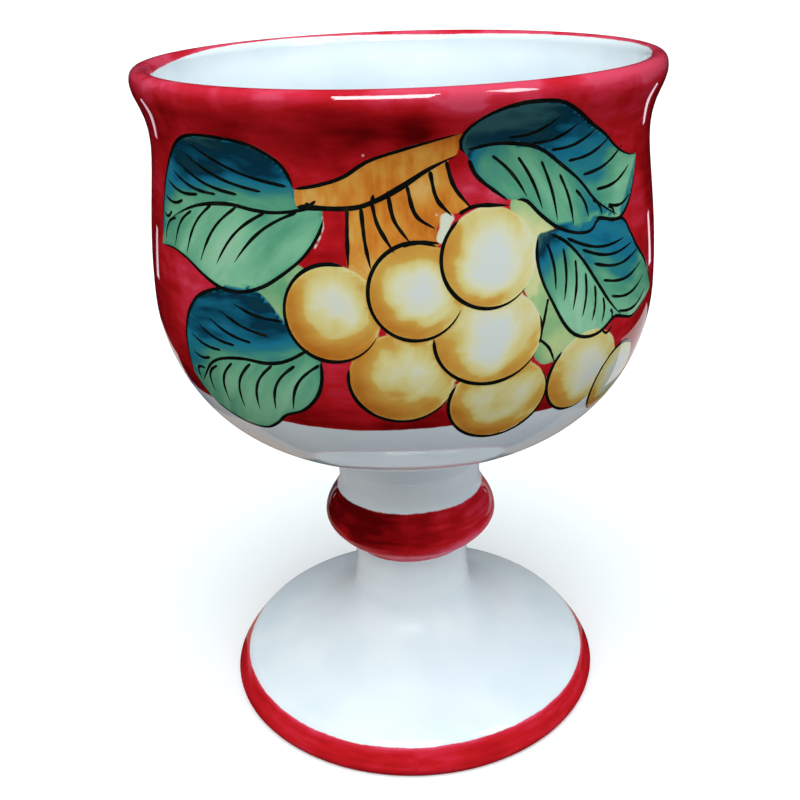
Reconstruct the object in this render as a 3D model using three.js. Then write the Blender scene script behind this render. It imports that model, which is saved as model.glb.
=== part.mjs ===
import * as THREE from 'three';

// A thrown pottery goblet: bowl, hollow stem and hollow foot, luted together by two rings of slip.
// Millimetres, +Z up. The wheel's axis is Z, and the foot ring rests on z = 0.

// Facets round the axis and along the curves of an outline
const turnSteps = 48;
const longSteps = 10;
const shortSteps = 5;
const beadSteps = 4;

// From the table to the top of the lip
const gobletHeight = 138.6;

// Slip that joins the pieces, and the bore that runs up through the foot and the stem
const slipThickness = 1;
const bowlSlipBead = 0.3; // how far the slip stands proud of the join under the bowl
const footSlipBead = 0.1; // wiped nearly flush on the foot
const boreRadius = 6.5;

// Foot: a low dome with a rounded painted edge, hollow underneath
const footRadius = 41.8; // widest, on the rounded edge
const footEdgeRise = 1.8; // from the table to the widest point
const footShoulderRise = 4.7; // from the widest point to the shoulder of the dome
const footShoulderInset = 3.2;
const footShoulderAngle = 46; // slope of the dome at its shoulder
const footDomeRise = 15; // from the shoulder to the seat of the stem
const restInset = 1.2; // flat resting ring, inside the widest radius
const restWidth = 4.8;
const hollowHeight = 11; // from the table to the mouth of the bore
const hollowSlope = 9;

// Stem: waist, column, bun-shaped knop and neck, from the foot up
const footJoinRadius = 13.2;
const waistRise = 3.9;
const waistRadius = 12.7;
const columnRise = 6.2; // straight stretch above the waist
const knopFootRise = 3.2; // from the column to the underside of the knop
const knopFootSpread = 2.3; // how far the fillet runs out under the knop
const knopUnderSlope = 33;
const knopRise = 5.1; // from the underside to the widest point
const knopRadius = 19;
const neckRise = 9.1;
const neckRadius = 15.55;
const neckTopRise = 4;

// Bowl: collar, underside and belly from the stem up, then lip and throat from the top down
const collarRadius = 15.7;
const collarRise = 8.8; // from the join to the underside
const collarSpread = 6.3; // how far the fillet runs out under the bowl
const undersideSlope = 5;
const bellyRise = 32.1;
const bellyRadius = 49.9;
const lipTopInset = 1.9;
const lipRound = 2.4; // from the top of the lip to its widest point
const lipRadius = 50;
const lipFlare = 11.1; // from the widest point to the throat
const throatRadius = 47.5;
const bowlWall = 4.3;
const floorThickness = 5.5;

// How long a curve keeps the direction of its lower and its upper end, as shares of its rise
const evenPull = [1 / 3, 1 / 3];
const footRollPull = [0.2, 0.2];
const footDomePull = [0.13, 0.52];
const hollowPull = [1.2, 0.5];
const knopFilletPull = [0.6, 0.4];
const knopUnderPull = [0.45, 0.33];
const knopOverPull = [0.43, 0.39];
const filletPull = [0.7, 0.43];
const lowerBowlPull = [0.61, 0.41];
const upperBowlPull = [0.46, 0.19];
const lipFlarePull = [0.58, 0.27];
const roundPull = [0.55, 0.55]; // close to a quarter of an ellipse

// Directions along an outline, in degrees from outwards
const up = 90;
const inwards = 180;
const down = 270;

const at = (radius, height) => new THREE.Vector2(radius, height);

// A cubic curve that leaves a point in one direction and arrives at another in a second one
function sweep(from, leaving, to, arriving, [leavePull, arrivePull]) {
  const rise = Math.abs(to.y - from.y);
  const step = (angle, pull) => at(pull * rise, 0).rotateAround(at(0, 0), THREE.MathUtils.degToRad(angle));
  const leave = step(leaving, leavePull).add(from);
  const arrive = step(arriving + inwards, arrivePull).add(to);
  return new THREE.CubicBezierCurve(from, leave, arrive, to);
}

// A curve that is upright at both ends
const swell = (from, to, pull) => sweep(from, up, to, up, pull);

// A curve moved to the left of its direction by a wall's thickness, as points from its end back
function innerWall(curve, steps, wall) {
  const points = curve.getPoints(steps).map((point, index) => {
    const along = curve.getTangent(index / steps);
    return at(point.x - wall * along.y, point.y + wall * along.x);
  });
  return points.reverse();
}

// Points of a chain of stretches, with each shared end taken once
function chain(...stretches) {
  return stretches.flatMap((points, index) => (index === 0 ? points : points.slice(1)));
}

// One named solid of revolution about Z, standing at its own height
function turned(name, outline, height, look) {
  const geometry = new THREE.LatheGeometry(outline, turnSteps);
  geometry.rotateX(Math.PI / 2);
  const mesh = new THREE.Mesh(geometry, new THREE.MeshStandardMaterial(look));
  mesh.name = name;
  mesh.position.z = height;
  return mesh;
}

// Foot
const restOuter = at(footRadius - restInset, 0);
const restInner = at(restOuter.x - restWidth, 0);
const footWidest = at(footRadius, footEdgeRise);
const footShoulder = at(footRadius - footShoulderInset, footWidest.y + footShoulderRise);
const footSeat = at(footJoinRadius, footShoulder.y + footDomeRise);
const boreMouth = at(boreRadius, hollowHeight);

function footOutline() {
  const domeStart = inwards - footShoulderAngle;
  const edge = sweep(restOuter, up / 2, footWidest, up, evenPull);
  const roll = sweep(footWidest, up, footShoulder, domeStart, footRollPull);
  const dome = sweep(footShoulder, domeStart, footSeat, up, footDomePull);
  const hollow = sweep(boreMouth, -hollowSlope, restInner, down, hollowPull);
  return chain(
    [restInner, restOuter],
    edge.getPoints(beadSteps),
    roll.getPoints(shortSteps),
    dome.getPoints(longSteps),
    [footSeat, at(boreRadius, footSeat.y), boreMouth],
    hollow.getPoints(longSteps),
  );
}

// Stem
const stemFoot = at(footJoinRadius, 0);
const waist = at(waistRadius, waistRise);
const columnTop = at(waistRadius, waist.y + columnRise);
const knopFoot = at(waistRadius + knopFootSpread, columnTop.y + knopFootRise);
const knop = at(knopRadius, knopFoot.y + knopRise);
const neck = at(neckRadius, knop.y + neckRise);
const stemTop = at(collarRadius, neck.y + neckTopRise);

// Height of each piece that stands on another
const stemBase = footSeat.y + slipThickness;
const bowlSlipBase = stemBase + stemTop.y;
const bowlBase = bowlSlipBase + slipThickness;

function stemOutline() {
  return chain(
    [at(boreRadius, 0), stemFoot],
    swell(stemFoot, waist, evenPull).getPoints(beadSteps),
    [waist, columnTop],
    sweep(columnTop, up, knopFoot, knopUnderSlope, knopFilletPull).getPoints(shortSteps),
    sweep(knopFoot, knopUnderSlope, knop, up, knopUnderPull).getPoints(longSteps),
    swell(knop, neck, knopOverPull).getPoints(longSteps),
    swell(neck, stemTop, evenPull).getPoints(beadSteps),
    [stemTop, at(boreRadius, stemTop.y), at(boreRadius, 0)],
  );
}

// Bowl
const collar = at(collarRadius, 0);
const underside = at(collarRadius + collarSpread, collarRise);
const belly = at(bellyRadius, underside.y + bellyRise);
const lipTop = at(lipRadius - lipTopInset, gobletHeight - bowlBase);
const lip = at(lipRadius, lipTop.y - lipRound);
const throat = at(throatRadius, lip.y - lipFlare);

function bowlOutline() {
  const fillet = sweep(collar, up, underside, undersideSlope, filletPull);
  const lower = sweep(underside, undersideSlope, belly, up, lowerBowlPull);
  const upper = swell(belly, throat, upperBowlPull);
  const flare = swell(throat, lip, lipFlarePull);
  const roll = sweep(lip, up, lipTop, inwards, roundPull);

  // Inside, the wall follows the outside down to a floor that is level at the axis
  const innerFlare = innerWall(flare, shortSteps, bowlWall);
  const innerUpper = innerWall(upper, shortSteps, bowlWall);
  const innerLower = innerWall(lower, longSteps, bowlWall);
  const rollIn = sweep(lipTop, inwards, innerFlare[0], down, roundPull);
  const floorEdge = innerLower[longSteps];
  const floorMiddle = floorEdge.x / 2;
  const floorDrop = floorMiddle * Math.tan(THREE.MathUtils.degToRad(undersideSlope));
  const floorCentre = at(0, floorEdge.y - floorDrop);
  const floor = new THREE.QuadraticBezierCurve(floorEdge, at(floorMiddle, floorCentre.y), floorCentre);
  const recess = floorCentre.y - floorThickness;

  return chain(
    [at(0, recess), at(boreRadius, recess), at(boreRadius, 0), collar],
    fillet.getPoints(shortSteps),
    lower.getPoints(longSteps),
    upper.getPoints(shortSteps),
    flare.getPoints(shortSteps),
    roll.getPoints(beadSteps),
    rollIn.getPoints(beadSteps),
    innerFlare,
    innerUpper,
    innerLower,
    floor.getPoints(shortSteps),
  );
}

// Slip: a thin ring with a rounded outer edge
function slipOutline(joinRadius, slipBead) {
  const bulge = at(joinRadius + 2 * slipBead, slipThickness / 2);
  const bead = new THREE.QuadraticBezierCurve(at(joinRadius, 0), bulge, at(joinRadius, slipThickness));
  return chain(
    [at(boreRadius, 0), at(joinRadius, 0)],
    bead.getPoints(beadSteps),
    [at(joinRadius, slipThickness), at(boreRadius, slipThickness), at(boreRadius, 0)],
  );
}

// The pieces, stacked from the table up
const whiteGlaze = { color: 0xe4eaec, roughness: 0.12, metalness: 0 };
const redGlaze = { color: 0xa81a28, roughness: 0.12, metalness: 0 };

const goblet = new THREE.Group();
goblet.add(
  turned('foot', footOutline(), 0, whiteGlaze),
  turned('foot_slip', slipOutline(footJoinRadius, footSlipBead), footSeat.y, whiteGlaze),
  turned('stem', stemOutline(), stemBase, redGlaze),
  turned('bowl_slip', slipOutline(collarRadius, bowlSlipBead), bowlSlipBase, whiteGlaze),
  turned('bowl', bowlOutline(), bowlBase, redGlaze),
);

export default goblet;
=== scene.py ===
import math
import bpy
import numpy as np
from mathutils import Matrix, Vector


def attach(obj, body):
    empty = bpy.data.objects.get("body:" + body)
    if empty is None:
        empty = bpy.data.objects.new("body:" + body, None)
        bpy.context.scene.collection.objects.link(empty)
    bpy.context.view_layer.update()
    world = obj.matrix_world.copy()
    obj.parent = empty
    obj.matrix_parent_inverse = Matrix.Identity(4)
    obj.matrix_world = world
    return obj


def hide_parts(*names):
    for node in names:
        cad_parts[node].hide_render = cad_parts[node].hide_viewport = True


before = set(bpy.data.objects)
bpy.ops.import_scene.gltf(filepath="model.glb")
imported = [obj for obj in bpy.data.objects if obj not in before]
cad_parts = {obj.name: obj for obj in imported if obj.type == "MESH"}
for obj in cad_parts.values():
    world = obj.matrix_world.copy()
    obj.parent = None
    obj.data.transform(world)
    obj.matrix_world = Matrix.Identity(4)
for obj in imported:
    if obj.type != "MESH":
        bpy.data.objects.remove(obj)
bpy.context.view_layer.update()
mm = 0.001
print("frame loaded with", ", ".join(sorted(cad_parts)))


def addObject(name, data):
    made = bpy.data.objects.new(name, data)
    bpy.context.collection.objects.link(made)
    return made


# Camera: in front on the -Y side, looking down on the goblet
viewCamera = {
    "place": (0, -205.49, 158.93),  # mm
    "angles": (-0.444, 24.129, -1.841),  # degrees of yaw, pitch and roll
    "lens": 46.71,
}


def addCamera(spec):
    yaw, pitch, roll = np.radians(spec["angles"])
    data = bpy.data.cameras.new("view_camera")
    data.lens = spec["lens"]
    data.sensor_width = 36
    data.clip_start = 0.01
    data.clip_end = 60
    stand = Matrix.Translation(Vector(spec["place"]) * mm)
    for angle, axis in ((-yaw, "Z"), (math.pi / 2 - pitch, "X"), (roll, "Z")):
        stand = stand @ Matrix.Rotation(angle, 4, axis)
    holder = addObject("view_camera", data)
    holder.matrix_world = stand
    bpy.context.scene.camera = holder


addCamera(viewCamera)
print("camera set")

# Outlines are rows of (radius, height) in mm, from the middle of the underside up the outside and back
# inside. Directions along them are in degrees from outwards
goUp = 90
goIn = 180
goDown = 270
evenPulls = (1 / 3, 1 / 3)
quarterPulls = (0.55, 0.55)  # close to a quarter of an ellipse
curveSteps = 80
fineGap = 0.6  # mm between rows
underGap = 1.2
hiddenGap = 2


# Cubic curve: each handle points along its end's direction and is a share of the rise long
def bend(start, leaving, end, meeting, pulls):
    start = np.array(start, float)
    end = np.array(end, float)
    rise = abs(end[1] - start[1])
    heading = np.radians((leaving, meeting))
    handles = rise * np.array(pulls)[:, None] * np.column_stack((np.cos(heading), np.sin(heading)))
    t = np.linspace(0, 1, curveSteps)[:, None]
    u = 1 - t
    first, second = start + handles[0], end - handles[1]
    return u**3 * start + 3 * u**2 * t * first + 3 * u * t**2 * second + t**3 * end


def lengthAlong(points):
    return np.concatenate(([0], np.cumsum(np.hypot(*np.diff(points, axis=0).T))))


def pointsAt(line, shares):
    length = lengthAlong(line)
    stops = np.asarray(shares) * length[-1]
    return np.column_stack([np.interp(stops, length, line[:, k]) for k in (0, 1)])


def evenly(points, gap):
    points = np.array(points, float)
    gaps = max(1, int(round(lengthAlong(points)[-1] / gap)))
    return pointsAt(points, np.linspace(0, 1, gaps + 1))


# Stretches end to end, with each shared end taken once
def chain(*stretches):
    return np.concatenate([stretches[0]] + [part[1:] for part in stretches[1:]])


# Curves through rows of a point, the direction there and the pulls towards the next point
def profile(rows):
    return chain(*(bend(*row[:2], *after[:2], row[2]) for row, after in zip(rows, rows[1:])))


def unit(vectors):
    return vectors / np.linalg.norm(vectors, axis=-1, keepdims=True)


# The line moved to the left of its direction by a wall's thickness, run backwards
def innerWall(points, wall):
    ahead = unit(np.gradient(points, axis=0))
    return (points + wall * np.column_stack((-ahead[:, 1], ahead[:, 0])))[::-1]


# A mesh object that rides on the goblet, from points in mm, faces and a map corner for each face corner
def addPiece(name, points, faces, corners):
    mesh = bpy.data.meshes.new(name)
    rows = [row for group in faces for row in group.tolist()]
    mesh.from_pydata((points * mm).tolist(), [], rows, shade_flat=False)
    uv = np.concatenate([group.reshape(-1) for group in corners]).astype(np.float32)
    mesh.uv_layers.new(name="OFBake").data.foreach_set("uv", uv)
    mesh.set_sharp_from_angle(angle=math.radians(38))
    mesh.update()
    piece = addObject(name, mesh)
    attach(piece, "root")
    print(name, "has", sum(len(group) * (group.shape[1] - 2) for group in faces), "triangles")
    return piece


# Where a turned surface lies on its map, which runs from 0 to 1
wholeMap = (0.004, 0.996, 0.004, 0.996)
poleMap = {"radius": 0.0036, "middles": ((0.994, 0.994), (0.98, 0.994))}


def turnsOf(columns):
    return np.arange(columns) * 2 * np.pi / columns


# Radius, height and length along the outline for each row of a turned surface
def rowsOf(rings):
    return rings[:, :1], rings[:, 1:], lengthAlong(rings)[:, None]


# Row and column of each corner of a grid of faces
def gridCorners(first, end, start, stop):
    row, column = np.meshgrid(np.arange(first, end), np.arange(start, stop), indexing="ij")
    return row.reshape(-1, 1) + np.array((0, 0, 1, 1)), column.reshape(-1, 1) + np.array((0, 1, 1, 0))


# Turned surface: point(row, a) = (r sin a, -r cos a, z), with r and z from the outline's row, plus a small
# sway. An end of the outline on the axis closes in one point; an outline that ends where it starts closes on
# itself. Each map patch is (first row, end row, first column, end column, left, right, low, high)
def addTurned(name, outline, columns, sway=None, patches=None):
    poles = not np.allclose(outline[0], outline[-1])
    rings = outline[1:-1] if poles else outline[:-1]
    rows = len(rings)
    turn = turnsOf(columns)
    radius, height = (np.repeat(rings[:, k : k + 1], columns, 1) for k in (0, 1))
    if sway:
        outwards, upwards = sway(turn[None, :], height)
        radius = radius + outwards
        height = height + upwards
    points = np.stack((radius * np.sin(turn), -radius * np.cos(turn), height), -1).reshape(-1, 3)
    faces = []
    corners = []
    lastRow = rows - 1 if poles else rows
    for first, end, start, stop, left, right, low, high in patches or [(0, lastRow, 0, columns, *wholeMap)]:
        row, column = gridCorners(first, end, start, stop)
        faces.append(row % rows * columns + column % columns)
        across = left + (right - left) * (column - start) / (stop - start)
        upwards = low + (high - low) * (row - first) / (end - first)
        corners.append(np.stack((across, upwards), -1))
    if poles:
        points = np.concatenate((points, [(0, 0, outline[0, 1]), (0, 0, outline[-1, 1])]))
        here = np.arange(columns)
        after = (here + 1) % columns
        centre = np.full(columns, rows * columns)
        faces.append(np.column_stack((centre, after, here)))
        faces.append(np.column_stack((centre + 1, here + lastRow * columns, after + lastRow * columns)))
        spoke = np.stack((np.sin(turn), np.cos(turn)), -1) * poleMap["radius"]
        edge = np.stack((np.zeros_like(spoke), np.roll(spoke, -1, 0), spoke), 1)
        corners += [edge + np.array(middle) for middle in poleMap["middles"]]
    return addPiece(name, points, faces, corners)


farOutside = -50.0  # mm, the depth where a colour is nowhere near


# Numbers for each vertex of a turned surface: an array for each measure, spread over its rows and columns,
# and one value for the points on the axis
def setMeasures(piece, shape, pole=farOutside, **measures):
    for name, values in measures.items():
        values = np.broadcast_to(values, shape).reshape(-1)
        spare = len(piece.data.vertices) - len(values)
        values = np.concatenate((values, np.full(spare, pole))).astype(np.float32)
        piece.data.attributes.new(name, "FLOAT", "POINT").data.foreach_set("value", values)


# From 0 at the start to the most at so much further on
def slide(values, start, over, most=1):
    return most * np.clip((values - start) / over, 0, 1)


# The most at a middle, dying away within a reach
def hump(values, middle, reach, most):
    return most * np.exp(-(((values - middle) / reach) ** 2))


# Finishes. Colours are written as they look, from 0 to 255
def paint(red, green, blue):
    share = np.array((red, green, blue)) / 255
    linear = np.where(share <= 0.04045, share / 12.92, ((share + 0.055) / 1.055) ** 2.4)
    return (*linear.tolist(), 1.0)


def newFinish(name):
    material = bpy.data.materials.new(name)
    material.use_nodes = True
    tree = material.node_tree
    return material, tree, tree.nodes["Principled BSDF"]


# Each input is a plain value or the output of another node; id_data is the tree that they are in
def setInputs(made, inputs):
    for key, value in inputs.items():
        if isinstance(value, bpy.types.NodeSocket):
            made.id_data.links.new(value, made.inputs[key])
        else:
            made.inputs[key].default_value = value


# The outputs of a new node
def addNode(tree, kind, inputs, **options):
    made = tree.nodes.new(kind)
    for option, value in options.items():
        setattr(made, option, value)
    setInputs(made, inputs)
    return made.outputs


def measure(tree, name):
    return addNode(tree, "ShaderNodeAttribute", {}, attribute_name=name)["Fac"]


def placeOn(tree):
    return addNode(tree, "ShaderNodeTexCoord", {})["Object"]


# base + value * share
def plus(base, value, share=1):
    inputs = {0: value, 1: share, 2: base}
    return addNode(value.id_data, "ShaderNodeMath", inputs, operation="MULTIPLY_ADD")[0]


def noiseAt(place, scale, detail=3):
    inputs = {"Vector": place, "Scale": scale, "Detail": detail}
    return addNode(place.id_data, "ShaderNodeTexNoise", inputs)["Fac"]


# 0 below low, 1 above high, and an S-shaped step between them
def fade(value, low, high):
    inputs = {"Value": value, "From Min": low, "From Max": high}
    return addNode(value.id_data, "ShaderNodeMapRange", inputs, interpolation_type="SMOOTHSTEP")["Result"]


def layer(share, under, over):
    inputs = {0: share, 6: under, 7: over}
    return addNode(share.id_data, "ShaderNodeMix", inputs, data_type="RGBA")[2]


# Colours along a scale of tones, from rows of (tone, red, green, blue)
def ramp(tone, stops):
    blend = addNode(tone.id_data, "ShaderNodeValToRGB", {"Fac": tone})["Color"]
    marks = blend.node.color_ramp.elements
    while len(marks) < len(stops):
        marks.new(0.5)
    for mark, (place, *colour) in zip(marks, stops):
        mark.position = place
        mark.color = paint(*colour)
    return blend


glaze = {
    "white": paint(236, 243, 246),
    "pooled": paint(226, 236, 242),  # where the glaze lies thick
    "pinhole": paint(240, 216, 216),
    "clay": paint(196, 158, 122),  # wiped foot ring
    "clayShade": paint(150, 112, 82),
    "clayRough": 0.85,
    "cloudScale": 55, "blotScale": 95, "cellScale": 170, "poolScale": 210, "grainScale": 1100,
    "rough": (0.16, 0.28),
    "bump": (0.25, 0.0012),  # strength, and distance in m
    "polish": 0.035,  # roughness of the clear coat
    "plainShine": 0.12,  # coat of a piece without painting
}
redPaint = [(0, 102, 4, 8), (0.3, 157, 15, 20), (0.6, 194, 26, 34), (0.85, 211, 44, 66), (1, 222, 72, 98)]
leafPaint = [
    (0, 170, 216, 180), (0.2, 132, 198, 158), (0.4, 90, 164, 130), (0.55, 46, 130, 136),
    (0.7, 28, 118, 148), (0.84, 9, 53, 74), (0.92, 20, 60, 72), (1, 48, 92, 96),
]
washPaint = [(0, 230, 234, 230), (0.35, 222, 222, 160), (0.65, 172, 204, 142), (1, 108, 172, 126)]
fruitPaint = [
    (0, 226, 231, 224), (0.2, 234, 232, 200), (0.34, 232, 221, 156), (0.48, 226, 203, 120),
    (0.55, 218, 170, 78), (0.8, 207, 140, 54), (1, 190, 114, 38),
]
woodPaint = [(0, 232, 188, 112), (0.35, 225, 158, 66), (0.65, 218, 130, 45), (1, 188, 100, 28)]


def roughFrom(noise):
    inputs = {"Value": noise, "To Min": glaze["rough"][0], "To Max": glaze["rough"][1]}
    return addNode(noise.id_data, "ShaderNodeMapRange", inputs)["Result"]


def setCoated(shader, colour, rough, height, bump, shine, polish, specular):
    inputs = {"Height": height, "Strength": bump[0], "Distance": bump[1]}
    settings = {
        "Base Color": colour,
        "Roughness": rough,
        "Normal": addNode(shader.id_data, "ShaderNodeBump", inputs)["Normal"],
        "Coat Weight": shine,
        "Coat Roughness": polish,
        "Coat IOR": 1.6,
        "Specular IOR Level": specular,
    }
    setInputs(shader, settings)


# Glossy tin glaze with brushed colours in it: each covers the ones before it where its depth, in mm inside
# its edge and unsettled by noise, is above nought; its tone is its measure plus shares of streaks and of
# blotches, and a little more at its edge; the clear coat on top is as strong as the piece's shine
def glazed(name, colours, polish=glaze["polish"], wipedClay=False):
    material, tree, shader = newFinish(name)
    place = placeOn(tree)
    cloud = noiseAt(place, glaze["cloudScale"], 2)
    pool = noiseAt(place, glaze["poolScale"])
    grain = noiseAt(place, glaze["grainScale"])
    wander = plus(plus(-0.5, pool, 0.6), grain, 0.4)

    colour = layer(fade(cloud, 0.35, 0.7), glaze["white"], glaze["pooled"])
    shine = glaze["plainShine"]
    if colours:
        brush = {"X": measure(tree, "brushAlong"), "Y": measure(tree, "brushAcross")}
        stroke = addNode(tree, "ShaderNodeCombineXYZ", brush)[0]
        streak = plus(-0.5, fade(noiseAt(stroke, 1), 0.3, 0.7))
        blot = plus(-0.5, fade(noiseAt(place, glaze["blotScale"]), 0.34, 0.66))
        shine = measure(tree, "shine")
    for part, stops, streaks, blotches in colours:
        depth = plus(measure(tree, part + "Depth"), wander, 0.6)
        tone = plus(plus(measure(tree, part + "Tone"), streak, streaks), blot, blotches)
        tone = plus(tone, fade(depth, 1, 0.1), 0.08)
        colour = layer(fade(depth, -0.14, 0.16), colour, ramp(tone, stops))

    # Pinholes: rare points of a cell pattern where the glaze drew back
    cells = addNode(tree, "ShaderNodeTexVoronoi", {"Vector": place, "Scale": glaze["cellScale"]})
    rare = fade(cells["Color"], 0.6, 0.64)
    speck = plus(0, fade(cells["Distance"], 0.05, 0.02), rare)
    colour = layer(plus(0, speck, 0.6), colour, glaze["pinhole"])

    rough = roughFrom(pool)
    swell = plus(plus(cloud, pool, 0.15), speck, -0.2)
    if wipedClay:
        bare = fade(plus(measure(tree, "clayDepth"), wander), -0.2, 0.25)
        colour = layer(bare, colour, layer(grain, glaze["clay"], glaze["clayShade"]))
        inputs = {0: rough, 1: plus(0, bare, glaze["clayRough"])}
        rough = addNode(tree, "ShaderNodeMath", inputs, operation="MAXIMUM")[0]
        swell = plus(swell, plus(0, grain, bare), 0.3)
    setCoated(shader, colour, rough, swell, glaze["bump"], shine, polish, 0)
    return material


# Bowl: one shell from the collar out to the belly, in to the throat, over the lip and down inside
bowl = {
    "columns": 480,
    "outside": [
        ((15.7, 55), goUp, (0.7, 0.43)),  # collar
        ((22, 63.8), 5, (0.61, 0.41)),  # underside
        ((49.9, 95.9), goUp, (0.46, 0.19)),  # belly
        ((47.5, 125.1), goUp, (0.58, 0.27)),  # throat
        ((50, 136.2), goUp, quarterPulls),  # lip
        ((48.1, 138.6), goIn, quarterPulls),  # top of the lip
    ],
    "wall": 4.3,
    "floorCentre": 67.14,
    "recess": (6.5, 61.64),
    "recessGap": 3, "filletGap": 1, "paintedGap": 0.67, "lipGap": 0.45, "plainGap": 2.8,  # mm between rows
    "wallFrom": (23, 60),  # radius and height past which the wall starts
    "sway": (62, 20, 0.11),  # height where it starts, mm until it is full, and most
    "rimDip": (0.08, -0.15),  # mm, to the right and to the back
    "shineEnd": (2.5, 2),  # mm past the top of the lip where the coat thins, and mm until it is gone
    "insideShine": 0.01,
}
bowlWall = profile(bowl["outside"][1:5])  # outside, from the underside to the lip


# Inside, the wall follows the outside down to a floor, a square curve that is level at the axis
def bowlOutline(spec):
    collar = spec["outside"][0][0]
    recess = spec["recess"]
    corner = (recess[0], collar[1])
    inside = innerWall(bowlWall, spec["wall"])
    edge = inside[-1]
    centre = np.array((0, spec["floorCentre"]))
    t = np.linspace(0, 1, curveSteps // 2)[:, None]
    floor = (1 - t) ** 2 * edge + 2 * t * (1 - t) * (edge[0] / 2, centre[1]) + t**2 * centre
    return chain(
        evenly(((0, recess[1]), recess), spec["recessGap"]),
        evenly((recess, corner), hiddenGap),
        evenly((corner, collar), hiddenGap),
        evenly(profile(spec["outside"][:2]), spec["filletGap"]),
        evenly(bowlWall, spec["paintedGap"]),
        evenly(profile(spec["outside"][4:]), spec["lipGap"]),
        evenly(profile([spec["outside"][5], (inside[0], goDown, None)]), spec["lipGap"]),
        evenly(inside, spec["plainGap"]),
        evenly(floor, spec["plainGap"]),
    )


# Sway: r moves by a few slow waves round the axis, which die away towards the collar, and the top of the lip
# dips a little towards the front and the left
def bowlSway(turn, height):
    held = slide(height, *bowl["sway"])
    waves = np.sin(2 * turn + 0.7) + 0.5 * np.sin(3 * turn + 0.06 * height)
    waves = waves + 0.3 * np.sin(5 * turn - 0.11 * height)
    lip, top = (row[0][1] for row in bowl["outside"][4:])
    right, back = bowl["rimDip"]
    return held * waves, slide(height, lip, top - lip) * (right * np.sin(turn) + back * np.cos(turn))


# Painting on the bowl's wall. A place is (degrees to the right of the front, height in mm); the wall is laid
# flat with one degree as so many mm, and the same painting is repeated on the back
painting = {
    "degree": 0.864,  # mm
    "centres": (0, 180),  # degrees
    "inkLift": 0.03,  # mm above the wall
    "lineSteps": 40,
}
brushwork = {  # scale of the streaks along and across the brush
    "ground": (0.1, 0.55),
    "rim": (0.086, 0.5),
    "leaf": (0.07, 0.34),
    "wood": (0.5, 0.2),
}
ground = {
    "foot": 82.3,  # height of the lower edge of the red ground
    "over": 2.2,  # mm past the top of the lip where the red ends inside
    "narrow": (222, 32, 1.7),  # less of it inside the back of the lip: degrees, reach and mm
    "tone": 0.52,
    "lightShadeAndBrushBands": [(130, 4.5, -0.1), (103, 9, 0.1), (82, 5, -0.3)],  # height, reach in mm and change of tone: darker under the lip, partly painted shade; lighter round the belly, partly painted light; darker at the foot of the red, painted shade where the wall turns under
    "thinLipAndSheen": (134, 4, 0.39),  # the colour runs thin over the lip and is painted lighter there as a sheen too: height, mm until it is thin, and change
    "spotsAndSheen": [  # where the red is thin or thick, and the spots on the lip, near height 137, partly a painted sheen: place, size in mm and change of tone
        ((11.8, 123.6), 3.4, 0.5), ((17.2, 121), 2, 0.4),
        ((-50, 105), 4, 0.2), ((3.4, 132.8), 3, -0.36),
        ((-5, 131.2), 3.5, -0.16), ((-40, 133), 5, 0.14),
        ((13, 137.4), 4, 0.24), ((-17.5, 137.2), 5, -0.16),
        ((51.6, 137.1), 7, 0.16), ((-72, 137.6), 11, 0.2),
    ],
}
leafSide = {"high": 0.35, "low": -0.6}  # how far the streaks turn from the midrib in each half
leafHem = 0.1  # more tone beside the midrib in the lower half
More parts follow.
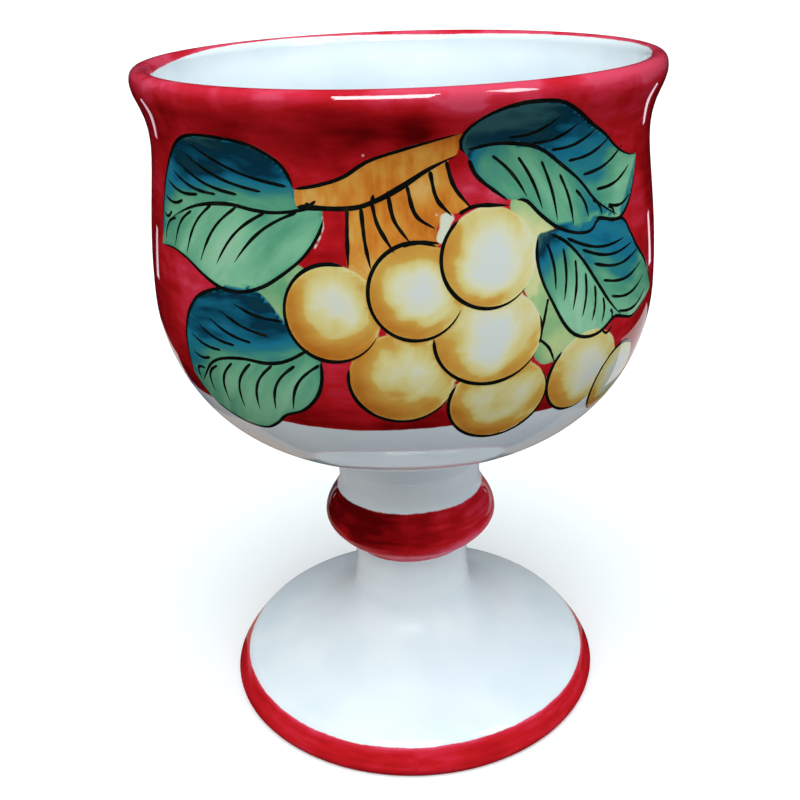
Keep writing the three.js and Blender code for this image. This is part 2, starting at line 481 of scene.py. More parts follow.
# Veins are how many, how bowed, roots and tips; tones are of the upper half, the lower half and the midrib,
# each at shares of the midrib's length
leaves = [{  # upper left
    "over": [(-20.7, 123.2), (-21.4, 124.8), (-23, 126.9), (-26, 128.6), (-31, 130.1), (-40, 130.6),
        (-47, 130), (-52.7, 128), (-57.3, 124.5), (-60.2, 119.5), (-61.3, 111)],
    "under": [(-15, 121), (-15, 118.3), (-16.5, 115.5), (-19.5, 112.3), (-24, 109.3), (-28, 107.2),
        (-33, 105.8), (-38, 105.7), (-43, 107), (-49, 109.1), (-55, 110), (-61.8, 109.5)],
    "midrib": [(-16, 121), (-20, 120), (-25, 119.4), (-30, 119.5), (-35, 119.9), (-40, 119.6),
        (-45, 118.8), (-50, 117.4), (-56, 115.2)],
    "highVeins": (7, 0.8, [(-22, 123.6), (-32, 121.8), (-47, 120.2), (-56, 116.3)],
        [(-46.5, 128.8), (-51, 126), (-58.3, 121.3), (-60.2, 115.5)]),
    "lowVeins": (6, -1.3, [(-20, 119.8), (-28, 119.3), (-40, 119.5), (-54, 115.4)],
        [(-34.8, 110.4), (-43, 109.3), (-53.2, 110.3), (-59.3, 110.7)]),
    "tones": ([(0, 0.6), (0.2, 0.82), (0.5, 0.87), (0.8, 0.85), (1, 0.66)],
        [(0, 0.2), (0.12, 0.28), (0.28, 0.32), (0.45, 0.13), (0.6, 0.12), (1, 0.34)],
        [(0, 0.5), (0.3, 0.42), (1, 0.3)]),
    "ribReach": (1.8, 3.6),  # mm from the midrib where its tone starts to turn, and mm until it has
    "inkFrom": (0, 0.04),  # share of each outline where its ink starts
}, {  # lower left
    "over": [(-19, 97.5), (-23.5, 102), (-29, 106.3), (-37, 106), (-43, 104.4), (-47, 102.4),
        (-50.2, 99), (-51.9, 95), (-52.6, 90.5), (-53.2, 87)],
    "under": [(-16.2, 96), (-16.4, 92), (-18, 88.6), (-21.5, 85.6), (-26, 83.9), (-29, 81.6),
        (-33, 79.6), (-38, 79.1), (-44, 80), (-49.5, 82), (-53.2, 86.7)],
    "midrib": [(-18.5, 97.5), (-23.5, 95), (-28, 94), (-34, 93.9), (-40, 92.8), (-44, 91), (-47.5, 88),
        (-50.5, 85.5)],
    "highVeins": (6, 0.6, [(-24, 101.9), (-28.5, 98.2), (-37.8, 95.4), (-44, 92.2)],
        [(-35.5, 103.6), (-43, 99.8), (-49.5, 95.8), (-50, 92)]),
    "lowVeins": (7, -1.5, [(-16.5, 95), (-26.5, 93.8), (-36, 92.8), (-47, 89.3)],
        [(-23.8, 85.4), (-35.4, 83.3), (-42.8, 83.4), (-50.5, 86)]),
    "tones": ([(0, 0.84), (0.2, 0.86), (0.45, 0.8), (0.7, 0.74), (0.85, 0.69), (1, 0.62)],
        [(0, 0.28), (0.4, 0.2), (1, 0.32)], [(0, 0.44), (1, 0.42)]),
    "ribReach": (0.8, 3.6),
    "inkFrom": (0.42, 0),
}, {  # upper right
    "over": [(12, 128.3), (10.8, 129.8), (12, 132.2), (16, 134.4), (21, 135.5), (26, 135.6), (30, 135.1),
        (34, 133.4), (39, 130.8), (44, 128.6), (49, 125.8), (54, 124), (59, 123.3)],
    "under": [(12.5, 127.5), (14.5, 124.5), (18, 121.7), (21, 120.6), (24, 120.3), (27, 117.8),
        (31, 115.2), (36, 113.6), (40, 113.5), (42, 115), (46, 114.3), (50, 114), (54.5, 116.5),
        (57.3, 120), (59, 123.3)],
    "midrib": [(12, 129), (18, 129.6), (24, 128.9), (28, 127.6), (32, 125.2), (37, 122), (41, 118.5),
        (45, 116.2), (49, 114.5)],
    "highVeins": (7, -0.9, [(20, 130.4), (31, 127), (39.5, 121.6), (45.5, 116.8)],
        [(30.5, 133), (44.5, 129), (54, 124.2), (54.5, 117.2)]),
    "lowVeins": (7, 0.6, [(17, 127.8), (27.8, 126), (37, 119.9), (45.5, 116.5)],
        [(24.3, 120.8), (33, 115.3), (40.5, 115.8), (47.5, 114.5)]),
    "tones": ([(0, 0.98), (0.3, 0.97), (0.5, 0.7), (0.75, 0.62), (0.95, 0.22)],
        [(0, 0.9), (0.04, 0.6), (0.1, 0.38), (0.3, 0.33), (0.5, 0.27), (0.7, 0.34), (0.85, 0.52),
        (1, 0.5)], [(0, 0.98), (0.3, 0.86), (0.55, 0.58), (1, 0.3)]),
    "ribReach": (0.5, 2.6),
    "inkFrom": (0, 0.22),
}, {  # lower right
    "over": [(26.5, 114.8), (31, 115), (36, 114.3), (41, 115.3), (47, 114), (51, 113.5), (54, 110.5),
        (57, 107.5), (61, 104.5), (64, 101.5), (67.5, 97.5)],
    "under": [(26.3, 114.6), (25.9, 111), (27, 107), (29, 103.5), (32, 99), (35, 96.4), (39, 95.2),
        (43, 95.5), (47, 97), (51, 96), (55, 95.2), (61, 96.3), (67.5, 97.3)],
    "midrib": [(29, 114.5), (33, 112.5), (37, 109), (41, 104.5), (45, 100.3), (48.5, 97.5), (50, 96.8)],
    "highVeins": (6, -1.4, [(33, 113.2), (39, 109), (45, 101.8), (48.5, 97.7)],
        [(51, 110.3), (58, 106.8), (60.3, 102), (62, 98.5)]),
    "lowVeins": (7, 0.5, [(28.3, 113), (32.7, 111.3), (39.2, 105.2), (45.5, 98.7)],
        [(30, 105), (34.5, 100.6), (40.4, 97.5), (45.8, 96.5)]),
    "tones": ([(0, 0.9), (0.15, 0.76), (0.3, 0.68), (0.6, 0.66), (0.85, 0.66), (1, 0.36)],
        [(0, 0.88), (0.1, 0.6), (0.2, 0.36), (0.45, 0.12), (1, 0.06)],
        [(0, 0.7), (0.35, 0.55), (0.6, 0.34), (1, 0.24)]),
    "ribReach": (2.2, 4.2),
    "inkFrom": (0.3, 0),
}]
looseLines = [  # short strokes beside the leaves
    [(42.5, 95.8), (44.6, 94.6), (47, 96)],
    [(26.4, 97.2), (28.6, 95.2), (30.2, 92.2)],
    [(28.2, 104), (27.4, 101), (26.7, 98)],
]
fruits = [  # back to front: middle, half width and half height in mm, inked arcs in degrees, highlight, gold
    ((39, 88.6), (8.6, 7.7), [(135, 289)], (0.1, 0.3), -0.12),
    ((52, 83.8), (6.8, 7), [(55, 260)], (0.4, 0.2), -0.1),
    ((-1, 92.6), (8.7, 8.2), [(166, 333)], (0.45, 0.05), 0.1),
    ((18.5, 87), (9.1, 8), [(149, 396)], (0.55, 0.15), 0.05),
    ((16, 99), (9.3, 8.2), [(175, 333), (343, 377)], (0.15, 0.1), -0.1),
    ((-13.8, 103.8), (8.2, 8.1), [(73, 336)], (0.2, 0.1), 0.1),
    ((2.2, 107.4), (7.7, 7.9), [(62, 339)], (0.15, 0), 0.05),
    ((16.3, 112), (8.1, 8.1), [(128, 318)], (0, -0.1), -0.08),
]
fruitTone = {
    "middle": 0.32,
    "highlight": -0.27,
    "highlightSize": (0.4, 0.5),  # shares of the half width and the half height
    "shaded": (-0.62, -0.68),  # direction of the shaded side
    "rim": (0.44, 0.38),  # share of the radius where the rim starts, and share until it is full
    "rimTone": 0.24,
    "shadedTone": 0.31,
}
twig = {
    "over": [(-20.7, 123.3), (-16, 124), (-11, 125.3), (-6, 127.8), (0, 129.4), (6, 130.7), (11, 131.7)],
    "under": [(-20.2, 120.6), (-10, 120.6), (-5, 121.7), (0, 123.8), (5, 126.3), (10.3, 128.3)],
    "comb": [(-10.4, 120.6), (-5, 121.7), (0, 123.8), (5, 126.3), (8.3, 127.6), (9.6, 123.5), (12.6, 120),
             (9, 119.2), (6.3, 117.4), (6.5, 114.5), (0, 112), (-6, 109.5), (-10, 109.5)],
    "tones": (0.42, 0.36),  # of the bough and of the comb
    "darker": (-8, 0.012),  # mm from the front, and change of tone for each mm to the right of it
    "strokes": [
        [(-10.2, 120.4), (-10.3, 116), (-10.2, 111.3)], [(-7.6, 120.8), (-7, 115.5), (-6, 111.2)],
        [(-5.5, 121.4), (-4.5, 118), (-1.6, 113.7)], [(-2.6, 123.3), (-1.5, 118.8), (1.3, 115.3)],
        [(1, 124), (2.5, 119.5), (6.1, 117.2)], [(5.3, 126.1), (6.5, 121.8), (9.3, 119)],
        [(8.3, 127.5), (9.8, 123.5), (13, 119.9)], [(12.5, 127.5), (14.5, 124.5), (20.3, 120.6)],
        [(-0.2, 114.8), (3, 115.3), (6.8, 115)], [(10.5, 119.3), (14, 120.3), (20.5, 119.9)],
        [(-18.6, 120.3), (-17.4, 120.9), (-16.2, 121.7)], [(-18.4, 121.2), (-17.2, 120.8), (-15.6, 120.5)],
        [(-19.6, 120.1), (-18, 120.4), (-16.2, 120.9)], [(-5.6, 120.9), (-5.4, 121.8), (-5.2, 122.8)],
    ],
}
washes = [  # thin colour between the shapes: tone, from white through yellow to green, and outline
    (0.46, [(20.6, 120.4), (23, 122), (27, 120), (30, 115), (28.5, 110), (28, 104), (23.5, 105), (21, 113)]),
    (0.7, [(24, 109), (28, 108), (31.5, 103), (36, 98), (40, 96), (36.5, 93.2), (31, 92.8), (27, 92.6),
           (24.4, 96), (24, 102)]),
    (0.9, [(-31, 107), (-25, 110), (-20, 111.5), (-18, 108.6), (-20.6, 103), (-24, 100), (-29, 103)]),
    (0.5, [(-25, 94.6), (-22.3, 96.8), (-20, 98.4), (-17, 98), (-17, 93.6), (-21.5, 93.2)]),
]
bareBits = [  # left white
    [(7, 119.2), (8.3, 119.7), (9.8, 118.9), (9, 117.9), (8.4, 116.6), (7.3, 114.8), (6.1, 115.6),
        (6.8, 117.3)],
    [(-15.2, 119.4), (-14.6, 119), (-14.7, 117.6), (-15.6, 115.6), (-17, 113.7), (-16.1, 115.8),
        (-15.2, 117.6)],
]


# Places on the wall as flat mm
def flat(places):
    return np.array(places, float) * (painting["degree"], 1)


# Smooth line through its points: on each stretch the cubic that leaves every point in the direction from the
# point before to the point after it, then spaced evenly
def brushLine(places, steps=80):
    points = flat(places)
    padded = np.concatenate((2 * points[:1] - points[1:2], points, 2 * points[-1:] - points[-2:-1]))
    run = np.linspace(0, len(points) - 1, steps * 2)
    at = np.minimum(run.astype(int), len(points) - 2)
    t = (run - at)[:, None]
    a, b, c, d = (padded[at + k] for k in range(4))
    line = b + 0.5 * t * (c - a + t * (2 * a - 5 * b + 4 * c - d + t * (3 * (b - c) + d - a)))
    return pointsAt(line, np.linspace(0, 1, steps))


def closedLine(places, steps):
    return brushLine(places + places[:1], steps)


def distanceTo(places, line):
    nearest = np.full(len(places), np.inf)
    for start, end in zip(line[:-1], line[1:]):
        step = end - start
        share = np.clip((places - start) @ step / max(step @ step, 1e-12), 0, 1)
        nearest = np.minimum(nearest, np.hypot(*(places - start - share[:, None] * step).T))
    return nearest


# Inside a closed line, a ray to the right crosses it an odd number of times
def insideOf(places, ring):
    inside = np.zeros(len(places), bool)
    for start, end in zip(ring[:-1], ring[1:]):
        spans = (start[1] > places[:, 1]) != (end[1] > places[:, 1])
        if spans.any():
            share = (places[:, 1] - start[1]) / (end[1] - start[1])
            inside ^= spans & (places[:, 0] < start[0] + share * (end[0] - start[0]))
    return inside


# Depth inside a closed line: distance to the line, negative outside
def depthInside(places, line):
    ring = np.concatenate((line, line[:1]))
    return distanceTo(places, ring) * np.where(insideOf(places, ring), 1, -1)


# The brush's direction, where a shape is
def setBrush(out, here, along, across):
    out["brushAlong"] = np.where(here, along, out["brushAlong"])
    out["brushAcross"] = np.where(here, across, out["brushAcross"])


# A leaf's tone goes along its midrib, and from the midrib outwards; its streaks slant away from the midrib
def layLeaf(out, places, leaf):
    over = brushLine(leaf["over"], 60)
    under = brushLine(leaf["under"], 60)
    rib = brushLine(leaf["midrib"], 40)
    depth = depthInside(places, np.concatenate((over, under[::-1])))
    high = insideOf(places, np.concatenate((over, rib[::-1], over[:1])))
    rise = slide(distanceTo(places, rib), *leaf["ribReach"])
    lean = rib[-1] - rib[0]
    reach = np.clip((places - rib[0]) @ lean / (lean @ lean), 0, 1)
    highTone, lowTone, ribTone = (np.interp(reach, *np.array(row).T) for row in leaf["tones"])
    tone = np.where(high, ribTone + (highTone - ribTone) * rise, lowTone + leafHem * (1 - rise))
    lean = unit(lean)
    side = np.where(high, leafSide["high"], leafSide["low"]) * np.sign(lean[0])
    along = unit(np.stack((lean[0] - side * lean[1], lean[1] + side * lean[0]), -1))
    ahead = (places * along).sum(1)
    across = places[:, 0] * along[:, 1] - places[:, 1] * along[:, 0]
    here = depth > -0.8
    out["leafTone"] = np.where(here, tone, out["leafTone"])
    out["leafDepth"] = np.maximum(out["leafDepth"], depth)
    setBrush(out, here, ahead * brushwork["leaf"][0], across * brushwork["leaf"][1])


# A fruit is pale, with a white highlight and a golden rim that is deepest on its shaded side
def layFruit(out, places, middle, half, highlight, gold):
    spec = fruitTone
    ball = (places - flat(middle)) / half
    reach = np.hypot(*ball.T)
    depth = (1 - reach) * min(half)
    shine = np.exp(-(((ball - highlight) / spec["highlightSize"]) ** 2).sum(1))
    shaded = np.clip(ball @ spec["shaded"], -0.2, 1)
    rim = slide(reach, *spec["rim"])
    tone = spec["middle"] + spec["highlight"] * shine + gold
    tone = tone + rim * (spec["rimTone"] + spec["shadedTone"] * shaded)
    out["fruitTone"] += (tone - out["fruitTone"]) * slide(depth, -0.6, 1.2)
    out["fruitDepth"] = np.maximum(out["fruitDepth"], depth)
    across = ball @ (1.2, -1.9) + 1.1 * reach**2 + middle[0]
    setBrush(out, depth > -0.3, ball @ (0.8, 0.5), across)


# Depths, tones and brush directions of the whole painting, at flat places on the wall
def workOutPainting(places):
    out = {}
    for shape in ("leaf", "wash", "wood", "fruit", "bare"):
        out[shape + "Depth"] = np.full(len(places), farOutside)
        out[shape + "Tone"] = np.zeros(len(places))
    out["brushAlong"], out["brushAcross"] = (places * brushwork["ground"]).T
    for leaf in leaves:
        layLeaf(out, places, leaf)
    for tone, outline in washes:
        depth = depthInside(places, closedLine(outline, 60))
        out["washTone"] = np.where(depth > out["washDepth"], tone, out["washTone"])
        out["washDepth"] = np.maximum(out["washDepth"], depth)
    bough = np.concatenate((brushLine(twig["over"], 40), brushLine(twig["under"], 40)[::-1]))
    boughDepth = depthInside(places, bough)
    out["woodDepth"] = np.maximum(boughDepth, depthInside(places, closedLine(twig["comb"], 90)))
    out["woodTone"] = np.where(boughDepth > 0, *twig["tones"])
    out["woodTone"] += twig["darker"][1] * (places[:, 0] - twig["darker"][0])
    setBrush(out, out["woodDepth"] > -0.5, *(places * brushwork["wood"]).T)
    for middle, half, _, highlight, gold in fruits:
        layFruit(out, places, middle, half, highlight, gold)
    for bit in bareBits:
        out["bareDepth"] = np.maximum(out["bareDepth"], depthInside(places, closedLine(bit, 40)))
    return out


def addBowl(spec):
    outline = bowlOutline(spec)
    columns = spec["columns"]
    rings = outline[1:-1]
    rows = len(rings)
    top = int(np.argmax(rings[:, 1]))
    wallFoot = int(np.argmax((rings > spec["wallFrom"]).all(1)))
    half = columns // 2
    quarter = columns // 4
    patches = [
        (wallFoot, top, -quarter, quarter, 0.004, 0.996, 0.004, 0.396),
        (wallFoot, top, quarter, quarter + half, 0.004, 0.996, 0.404, 0.796),
        (top, rows - 1, 0, columns, 0.004, 0.996, 0.804, 0.936),
        (0, wallFoot, 0, columns, 0.004, 0.97, 0.944, 0.996),
    ]
    piece = addTurned("bowl_body", outline, columns, bowlSway, patches)

    # The red ground is measured along the outline, from its foot on the outside to its end inside the lip
    shape = (rows, columns)
    height, along = rowsOf(rings)[1:]
    outside = slice(wallFoot, top + 1)
    start = np.interp(ground["foot"], height[outside, 0], along[outside, 0])
    degrees = np.arange(columns) * 360 / columns
    waver = 0.25 * np.sin(np.radians(degrees * 7)) + 0.3 * np.sin(np.radians(degrees * 3 + 40))
    end = along[top] + ground["over"] - 0.9 * np.sin(np.radians(degrees)) + 0.3 * waver
    end = end - hump(degrees, *ground["narrow"])
    # The red is painted lighter over the lip, partly as thin colour and partly as a painted sheen
    tone = ground["tone"] + slide(height, *ground["thinLipAndSheen"])
    # Bands of painted shade and light up the wall, partly over the brush's own changes
    for band in ground["lightShadeAndBrushBands"]:
        tone = tone + hump(height, *band)
    # Spots of thin or thick red; those on the lip are partly a painted sheen
    for place, size, change in ground["spotsAndSheen"]:
        aside = ((degrees - place[0] + 90) % 180 - 90) * painting["degree"]
        tone = tone + hump(np.hypot(aside, height - place[1]), 0, size, change)
    setMeasures(piece, shape, redDepth=np.minimum(along - start - waver, end - along), redTone=tone)
    least = spec["insideShine"]
    past = along - along[top] - spec["shineEnd"][0]
    setMeasures(piece, shape, least, shine=np.clip(1 - past / spec["shineEnd"][1], least, 1))

    # The painting is worked out once for half the wall and laid on both sides
    shift = (degrees[:half] + 90) % 180 - 90
    places = np.stack(np.broadcast_arrays(shift * painting["degree"], height[outside]), -1)
    rim = {"brushAlong": degrees * brushwork["rim"][0], "brushAcross": along * brushwork["rim"][1]}
    for name, values in workOutPainting(places.reshape(-1, 2)).items():
        plain = farOutside if name.endswith("Depth") else rim.get(name, 0)
        whole = np.array(np.broadcast_to(plain, shape), float)
        whole[outside] = np.tile(values.reshape(len(places), half), 2)
        setMeasures(piece, shape, **{name: whole})
    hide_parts("bowl")
    return piece


bowlColours = [  # name, paint, and shares of streaks and blotches
    ("red", redPaint, 0.2, 0.36),
    ("wash", washPaint, 0, 0.4),
    ("leaf", leafPaint, 0.14, 0.08),
    ("wood", woodPaint, 0.4, 0.4),
    ("fruit", fruitPaint, 0.13, 0.26),
    ("bare", washPaint, 0, 0.2),
]
addBowl(bowl).data.materials.append(glazed("painted_bowl_glaze", bowlColours))

# Ink lines: flat ribbons drawn on the wall with a loaded brush
inkSection = np.array(((0.5, -0.09), (0.49, 0.6), (0.3, 1), (-0.3, 1), (-0.49, 0.6), (-0.5, -0.09)))
inkWidth = {  # mm
    "least": 0.12, "leaf": 0.62, "vein": 0.54, "loose": 0.5, "fruit": 0.64, "shortArc": 0.45, "stroke": 0.64,
    "bough": (0.58, 0.85),  # upper and lower line
}
shortArc = 60  # degrees


# Ribbon: point(t, k) = place on the wall + side(t) * width(t) * across(k) + outward * lift * rise(k). The
# width swells from nothing, thins towards the end and trembles a little; both ends close in a point
def addInk(name, lines, widths, seed):
    chance = np.random.default_rng(seed)
    t = np.linspace(0, 1, painting["lineSteps"])
    path = np.stack([pointsAt(line, t) for line in lines])
    phase = chance.uniform(0, 2 * np.pi, (len(lines), 3))
    tremble = 0.1 * np.sin(9 * t + phase[:, :1]) + 0.06 * np.sin(23 * t + phase[:, 1:2])
    width = np.array(widths)[:, None] * np.minimum(1, (t / 0.05) ** 0.5)
    width = width * np.minimum(1, ((1 - t) / 0.3) ** 0.6)
    width = np.maximum(width * (1 + tremble), inkWidth["least"])
    path = np.tile(path, (len(painting["centres"]), 1, 1))
    width = np.tile(width, (len(painting["centres"]), 1))
    centre = np.repeat(np.radians(painting["centres"]), len(lines))[:, None]

    slope = unit(np.gradient(bowlWall, axis=0))
    turn = np.radians(path[:, :, 0] / painting["degree"]) + centre
    height = path[:, :, 1]
    rows = (bowlWall[:, 0], slope[:, 0], slope[:, 1])
    radius, outRise, upRise = (np.interp(height, bowlWall[:, 1], row) for row in rows)
    radius = radius + bowlSway(turn, height)[0]
    sine = np.sin(turn)
    cosine = np.cos(turn)
    origin = np.stack((radius * sine, -radius * cosine, height), -1)
    rightward = np.stack((cosine, sine, np.zeros_like(sine)), -1)
    upward = np.stack((outRise * sine, -outRise * cosine, upRise), -1)
    outward = np.cross(rightward, upward)
    ahead = unit(np.gradient(path, axis=1))
    side = -ahead[..., 1:] * rightward + ahead[..., :1] * upward

    aside = (width[:, 1:-1, None] * inkSection[:, 0])[..., None]
    lift = painting["inkLift"] * inkSection[:, 1:]
    ring = origin[:, 1:-1, None] + side[:, 1:-1, None] * aside + outward[:, 1:-1, None] * lift
    count, rows, around = ring.shape[:3]
    ends = origin[:, (0, -1)]
    each = rows * around
    points = np.concatenate((ring.reshape(-1, 3), ends.reshape(-1, 3)))

    # Each line is a strip of the map, one above the other
    line = np.arange(count)[:, None, None]
    strip = 0.99 / count
    row, spot = gridCorners(0, rows - 1, 0, around)
    quads = line * each + row * around + spot % around
    level = 0.005 + strip * (line + 0.1 + 0.8 * spot / around)
    quadMap = np.stack(np.broadcast_arrays(0.01 + 0.98 * row / rows, level), -1)
    spot = np.arange(around)[:, None]
    after = (spot + 1) % around
    pole = count * each + line * 2
    tail = (rows - 1) * around
    first = line * each + np.concatenate((spot * 0, after, spot), 1)
    last = line * each + tail + np.concatenate((spot * 0, spot, after), 1)
    first[..., :1] = pole
    last[..., :1] = pole + 1
    level = 0.005 + strip * (line + 0.5 + np.array((0, 0.1, -0.1)) + 0 * spot)
    capMap = np.stack((np.full(level.shape, 0.005), level), -1)
    tailMap = capMap + np.array((0.988, 0))
    faces = [group.reshape(-1, group.shape[-1]) for group in (quads, first, last)]
    return addPiece(name, points, faces, [quadMap, capMap, tailMap])


# Veins of half a leaf: each runs from a share of the line of roots to the same share of the line of tips,
# bowed to its left as half a sine wave
def veins(count, bow, roots, tips):
    shares = np.linspace(0, 1, count)
    roots, tips = (pointsAt(brushLine(line), shares)[:, None] for line in (roots, tips))
    t = np.linspace(0, 1, 24)[None, :, None]
    run = tips - roots
    left = unit(np.stack((-run[..., 1], run[..., 0]), -1))
    return list(roots + run * t + left * bow * np.sin(np.pi * t))


def leafInk():
    lines = []
    widths = []
    for leaf in leaves:
        for edge, start in zip(("over", "under"), leaf["inkFrom"]):
            lines.append(pointsAt(brushLine(leaf[edge]), np.linspace(start, 1, 80)))
        found = veins(*leaf["highVeins"]) + veins(*leaf["lowVeins"])
        lines += [brushLine(leaf["midrib"])] + found
        widths += [inkWidth["leaf"]] * 3 + [inkWidth["vein"]] * len(found)
    lines += [brushLine(line) for line in looseLines]
    return lines, widths + [inkWidth["loose"]] * len(looseLines)


def fruitInk():
    lines = []
    widths = []
    for middle, half, arcs, _, _ in fruits:
        for start, end in arcs:
            angle = np.radians(np.linspace(start, end, 60))
            lines.append(flat(middle) + np.column_stack((np.cos(angle), np.sin(angle))) * half)
            widths.append(inkWidth["fruit" if end - start > shortArc else "shortArc"])
    return lines, widths


def twigInk():
    lines = [brushLine(line) for line in [twig["over"], twig["under"]] + twig["strokes"]]
    return lines, [*inkWidth["bough"]] + [inkWidth["stroke"]] * len(twig["strokes"])


def inkFinish():
    material, tree, shader = newFinish("ink_under_glaze")
    load = noiseAt(placeOn(tree), 420)
    colour = ramp(load, [(0.3, 10, 13, 11), (0.62, 18, 22, 18), (0.85, 52, 50, 40)])
    setCoated(shader, colour, roughFrom(load), load, (0.06, 0.0004), 1, glaze["polish"], 0.05)
    return material


inkPieces = {"leaf_lines": (leafInk, 3), "fruit_lines": (fruitInk, 4), "twig_lines": (twigInk, 5)}  # seeds
ink = inkFinish()
for name, (find, seed) in inkPieces.items():
    addInk(name, *find(), seed).data.materials.append(ink)

# Stem: waist, column, bun-shaped knop and neck round a bore
stem = {
    "columns": 192,
    "bore": 6.5,
    "outside": [
        ((13.2, 22.5), goUp, evenPulls),  # join with the foot
        ((12.7, 26.4), goUp, evenPulls),  # waist
        ((12.7, 32.6), goUp, (0.6, 0.4)),  # top of the column
        ((15, 35.8), 33, (0.45, 0.33)),  # underside of the knop
        ((19, 40.9), goUp, (0.43, 0.39)),  # knop
        ((15.55, 50), goUp, evenPulls),  # neck
        ((15.7, 54), goUp, None),  # join with the bowl
    ],
    "redBand": (33.7, 47.6),  # heights of the painted band
    "redTone": (0.25, 0.34, 0.26),  # painted light and shade, lighter to the right and darker to the left: at the front, change to the right, and more on the right-hand side
    "thin": (42, -4, 0.7),  # a painted pink reflection of the white foot under the knop: height, mm upwards until it is full, and change
    "sideShine": 0.75,
    "underShine": (39, -1.2, 0.4),  # the underside of the knop mirrors the foot
    "brush": (0.04, 0.7),
}


# Outline of a ring round a bore: lower face, outside, upper face and bore
def ringOutline(outside, bore, boreGap):
    low, high = ((bore, outside[k][1]) for k in (0, -1))
    faces = [evenly(ends, hiddenGap) for ends in ((low, outside[0]), (outside[-1], high))]
    return chain(faces[0], outside, faces[1], evenly((high, low), boreGap))


def addStem(spec):
    outline = ringOutline(evenly(profile(spec["outside"]), fineGap), spec["bore"], hiddenGap)
    columns = spec["columns"]
    piece = addTurned("stem_body", outline, columns)
    rings = outline[:-1]
    turn = turnsOf(columns)
    waver = 0.2 * np.sin(2 * turn + 1) + 0.06 * np.sin(5 * turn)
    radius, height = rowsOf(rings)[:2]
    depth = np.minimum(height - spec["redBand"][0] - waver, spec["redBand"][1] - height + 0.6 * waver)
    # The knop's red is painted lighter on its lit right side and darker on the left
    front, aside, right = spec["redTone"]
    sine = np.sin(turn)
    setMeasures(
        piece,
        (len(rings), columns),
        redDepth=np.where(radius > spec["bore"] + 0.5, depth, farOutside),
        # pink under the knop is a painted reflection of the white foot
        redTone=front + aside * sine + right * np.clip(sine, 0, 1) + slide(height, *spec["thin"]),
        shine=np.maximum(spec["sideShine"] * sine**2, slide(height, *spec["underShine"])),
        brushAlong=np.degrees(turn) * spec["brush"][0],
        brushAcross=height * spec["brush"][1],
    )
    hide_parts("stem")
    return piece


stemGlaze = glazed("painted_stem_glaze", [("red", redPaint, 0.3, 0.25)], polish=0.06)
addStem(stem).data.materials.append(stemGlaze)

# Foot: low dome with a rounded painted edge, hollow underneath, on a wiped resting ring
foot = {
    "columns": 288,
    "rest": (35.8, 41.2),  # inner and outer radius of the resting ring
    "outside": [
        ((41.2, 0), 45, evenPulls),  # edge of the resting ring
        ((42, 1.4), goUp, (0.2, 0.2)),  # widest
        ((38.6, 6.5), 134, (0.13, 0.52)),  # shoulder
        ((13.2, 21.5), goUp, None),  # seat of the stem
    ],
    "bore": (6.5, 11),
    "hollow": (-9, (1.2, 0.5)),  # direction at the bore, and pulls
    "redTop": 5.65,  # height of the upper edge of the painted band
    "redTone": (0.57, 0.4, 0.7),  # in the band, more at its thin edges, and mm until that fades
    "shine": (27, 10, 0.08, 0.9),  # duller towards the stem: radius, mm until it is full, least and most
    "brush": (0.07, 0.6),
}


def addFoot(spec):
    inner, outer = ((radius, 0) for radius in spec["rest"])
    outside = profile(spec["outside"])
    bore = spec["bore"]
    high = (bore[0], outside[-1][1])
    outline = chain(
        evenly((inner, outer), underGap),
        evenly(outside, fineGap),
        evenly((outside[-1], high), hiddenGap),
        evenly((high, bore), hiddenGap),
        evenly(profile([(bore, *spec["hollow"]), (inner, goDown, None)]), underGap),
    )
    columns = spec["columns"]
    piece = addTurned("foot_body", outline, columns)
    rings = outline[:-1]
    radius, height, along = rowsOf(rings)
    widest = int(np.argmax(rings[:, 0]))
    seat = int(np.argmax(rings[:, 1]))
    ringEnd = int(np.argmin(np.abs(radius - outer[0]) + height))
    top = np.interp(spec["redTop"], height[widest:seat, 0], along[widest:seat, 0])
    turn = turnsOf(columns)
    waver = 0.25 * np.sin(2 * turn + 0.4) + 0.1 * np.sin(5 * turn) - 0.3 * np.sin(turn)
    depth = np.minimum(top - along + waver, along - along[ringEnd] - 0.2)
    tone, edge, reach = spec["redTone"]
    start, over, least, most = spec["shine"]
    setMeasures(
        piece,
        (len(rings), columns),
        redDepth=depth,
        redTone=tone + edge * np.exp(-np.clip(depth, 0, 9) / reach),
        clayDepth=np.minimum(radius - inner[0], outer[0] - radius) + 0.4 - 2 * height,
        shine=np.clip((radius - start) / over, least, most),
        brushAlong=np.degrees(turn) * spec["brush"][0],
        brushAcross=along * spec["brush"][1],
    )
    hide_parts("foot")
    return piece


footGlaze = glazed("foot_glaze", [("red", redPaint, 0.2, 0.14)], polish=0.07, wipedClay=True)
addFoot(foot).data.materials.append(footGlaze)

# Slip: two rings that join the pieces, softened by the glaze over them
slips = {
    "foot_seam": {"node": "foot_slip", "radius": 13.2, "low": 21.5, "high": 22.5, "bead": 0},
    "bowl_seam": {"node": "bowl_slip", "radius": 15.7, "low": 54, "high": 55, "bead": 0.16},
}
seam = {"columns": 192, "bore": 6.5, "beadSteps": 13, "boreGap": 0.5}


# Ring: the bead stands out as half a sine wave squared between its two flat faces
def addSlip(name, spec):
    t = np.linspace(0, 1, seam["beadSteps"])
    radius = spec["radius"] + spec["bead"] * np.sin(np.pi * t) ** 2
    bead = np.column_stack((radius, spec["low"] + t * (spec["high"] - spec["low"])))
    outline = ringOutline(bead, seam["bore"], seam["boreGap"])
    piece = addTurned(name, outline, seam["columns"])
    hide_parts(spec["node"])
    return piece


whiteGlaze = glazed("white_glaze", [])
for name, spec in slips.items():
    addSlip(name, spec).data.materials.append(whiteGlaze)

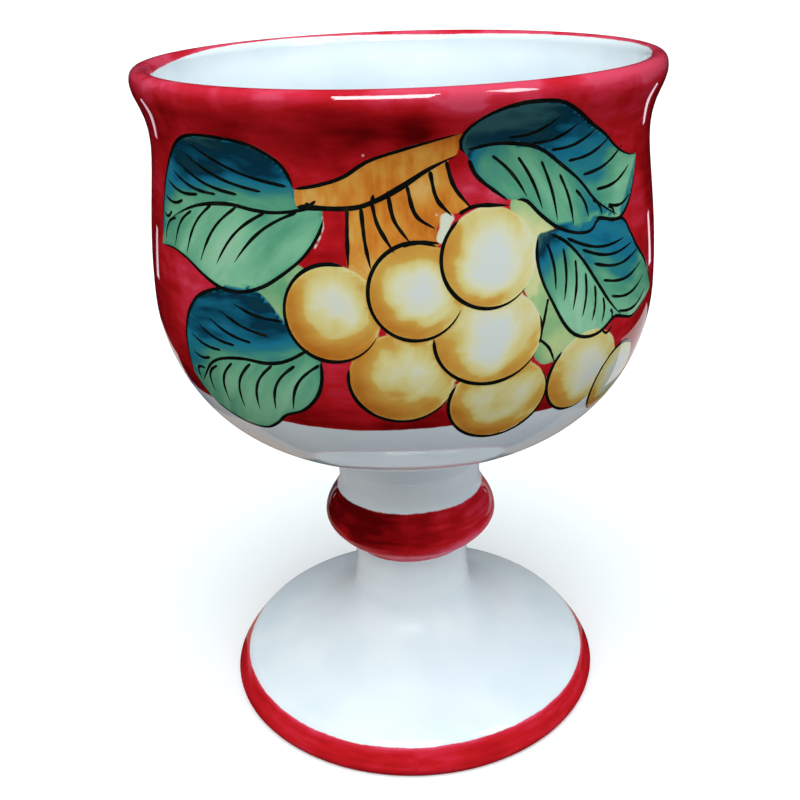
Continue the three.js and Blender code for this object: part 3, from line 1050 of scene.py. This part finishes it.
# Studio: wide pale floor and backdrop, which only the camera sees, and broad light from above, in front and
# both sides, which no reflection sees. The glaze mirrors two windows in front of the goblet and small lit
# patches on the table behind it
studio = {
    "floorReach": 6,  # m
    "floorSteps": 9,
    "wallRadius": 5, "wallHeight": 5, "wallSteps": 64,
    "sky": (0.5, 0.61, 0.72, 1),
    "skyStrength": 0.12,
}
floorLook = {
    "Base Color": paint(244, 245, 245),
    "Roughness": 0.9,
    "Specular IOR Level": 0,
    "Emission Color": (1, 1, 1, 1),
    "Emission Strength": 0.1,
}
wallLook = {
    "Base Color": (0, 0, 0, 1),
    "Specular IOR Level": 0,
    "Emission Color": (0.98, 0.985, 0.99, 1),
    "Emission Strength": 1,
}
broadLights = {  # degrees about X and then about Z, spread in degrees, power and colour
    "overhead": (18, 0, 70, 3.25, (0.88, 0.97, 1)),
    "front_fill": (36, 0, 110, 1.15, (1, 0.98, 0.95)),
    "left_fill": (110, -88, 80, 1, (1, 0.94, 0.9)),
    "right_fill": (110, 86, 80, 1.2, (0.94, 0.97, 1)),
    "table_bounce": (180, 0, 120, 0.12, (1, 0.82, 0.66)),
}
windows = {  # place, width and height in m, and power
    "front_window": ((-0.084, -0.684, 0.8), (0.6, 0.46), 14),
    "corner_window": ((0.635, -0.478, 0.75), (0.23, 0.42), 3.6),
}
windowAim = Vector((0, 0, 0.1))
tablePatches = {  # place, width and length in m, power, colour and degrees about Z
    "left_strip": ((-0.318, 0.353, 0.002), (0.03, 0.2), 0.03, (0.92, 0.85, 1), 42),
    "right_strip": ((0.318, 0.353, 0.002), (0.03, 0.2), 0.04, (0.92, 0.85, 1), -42),
    "left_edge": ((-0.07, 0.4, 0.002), (0.08, 0.6), 0.025, (0.6, 0.5, 1), 0),
    "right_edge": ((0.07, 0.4, 0.002), (0.08, 0.6), 0.04, (1, 0.7, 0.42), 0),
    "left_glare": ((-0.122, 0.175, 0.002), (0.04, 0.09), 0.008, (1, 0.94, 0.92), 0),
    "right_glare": ((0.15, 0.13, 0.002), (0.09, 0.14), 0.03, (1, 1, 1), 0),
    "left_table": ((-0.062, 0.055, 0.002), (0.05, 0.1), 0.006, (1, 0.72, 0.55), 0),
    "right_table": ((0.062, 0.055, 0.002), (0.05, 0.1), 0.005, (1, 0.85, 0.78), 0),
}


# A surface that only the camera sees; the underside of the goblet is lit by the bounce light instead
def addBacking(name, points, faces, look):
    mesh = bpy.data.meshes.new("studio_" + name)
    mesh.from_pydata(points.tolist(), [], faces.tolist())
    material, _, shader = newFinish("pale_" + name)
    setInputs(shader, look)
    mesh.materials.append(material)
    backing = addObject("studio_" + name, mesh)
    backing.visible_diffuse = False
    backing.visible_glossy = False
    backing.visible_shadow = False
    return backing


# The floor is a flat grid and the backdrop an upright ring round it
def addStudio(spec):
    steps = spec["floorSteps"]
    t = np.linspace(-1, 1, steps) * spec["floorReach"]
    across, deep = np.meshgrid(t, t)
    points = np.stack((across, deep, np.zeros_like(across)), -1).reshape(-1, 3)
    row, column = gridCorners(0, steps - 1, 0, steps - 1)
    floor = addBacking("floor", points, row * steps + column, floorLook)

    steps = spec["wallSteps"]
    turn = turnsOf(steps)
    ring = np.column_stack((np.sin(turn), -np.cos(turn), np.zeros(steps))) * spec["wallRadius"]
    points = np.concatenate((ring, ring + (0, 0, spec["wallHeight"])))
    row, column = gridCorners(0, 1, 0, steps)
    wall = addBacking("wall", points, (row * steps + column % steps)[:, ::-1], wallLook)

    world = bpy.data.worlds.new("studio_air")
    world.use_nodes = True
    sky = world.node_tree.nodes["Background"]
    sky.inputs["Color"].default_value = spec["sky"]
    sky.inputs["Strength"].default_value = spec["skyStrength"]
    bpy.context.scene.world = world
    world.cycles_visibility.glossy = False  # the glaze mirrors the windows and patches alone


def addBroadLight(name, tilt, turn, spread, power, colour):
    sun = bpy.data.lights.new(name, "SUN")
    sun.energy = power
    sun.color = colour
    sun.angle = math.radians(spread)
    holder = addObject(name, sun)
    holder.rotation_euler = (math.radians(tilt), 0, math.radians(turn))
    holder.visible_glossy = False


# A light that only reflections see: a patch on the table faces up, and a window faces the goblet
def addGlint(name, place, size, power, colour=(1, 1, 1), turn=None):
    light = bpy.data.lights.new(name, "AREA")
    light.shape = "RECTANGLE"
    light.size, light.size_y = size
    light.energy = power
    light.color = colour
    holder = addObject(name, light)
    holder.visible_camera = False
    holder.visible_diffuse = False
    holder.location = place
    if turn is None:
        holder.rotation_euler = (windowAim - Vector(place)).to_track_quat("-Z", "Y").to_euler()
    else:
        holder.rotation_euler = (math.pi, 0, math.radians(turn))


addStudio(studio)
for name, row in broadLights.items():
    addBroadLight(name, *row)
for name, row in {**windows, **tablePatches}.items():
    addGlint(name, *row)
bpy.context.scene.view_settings.view_transform = "Standard"
print("studio set")
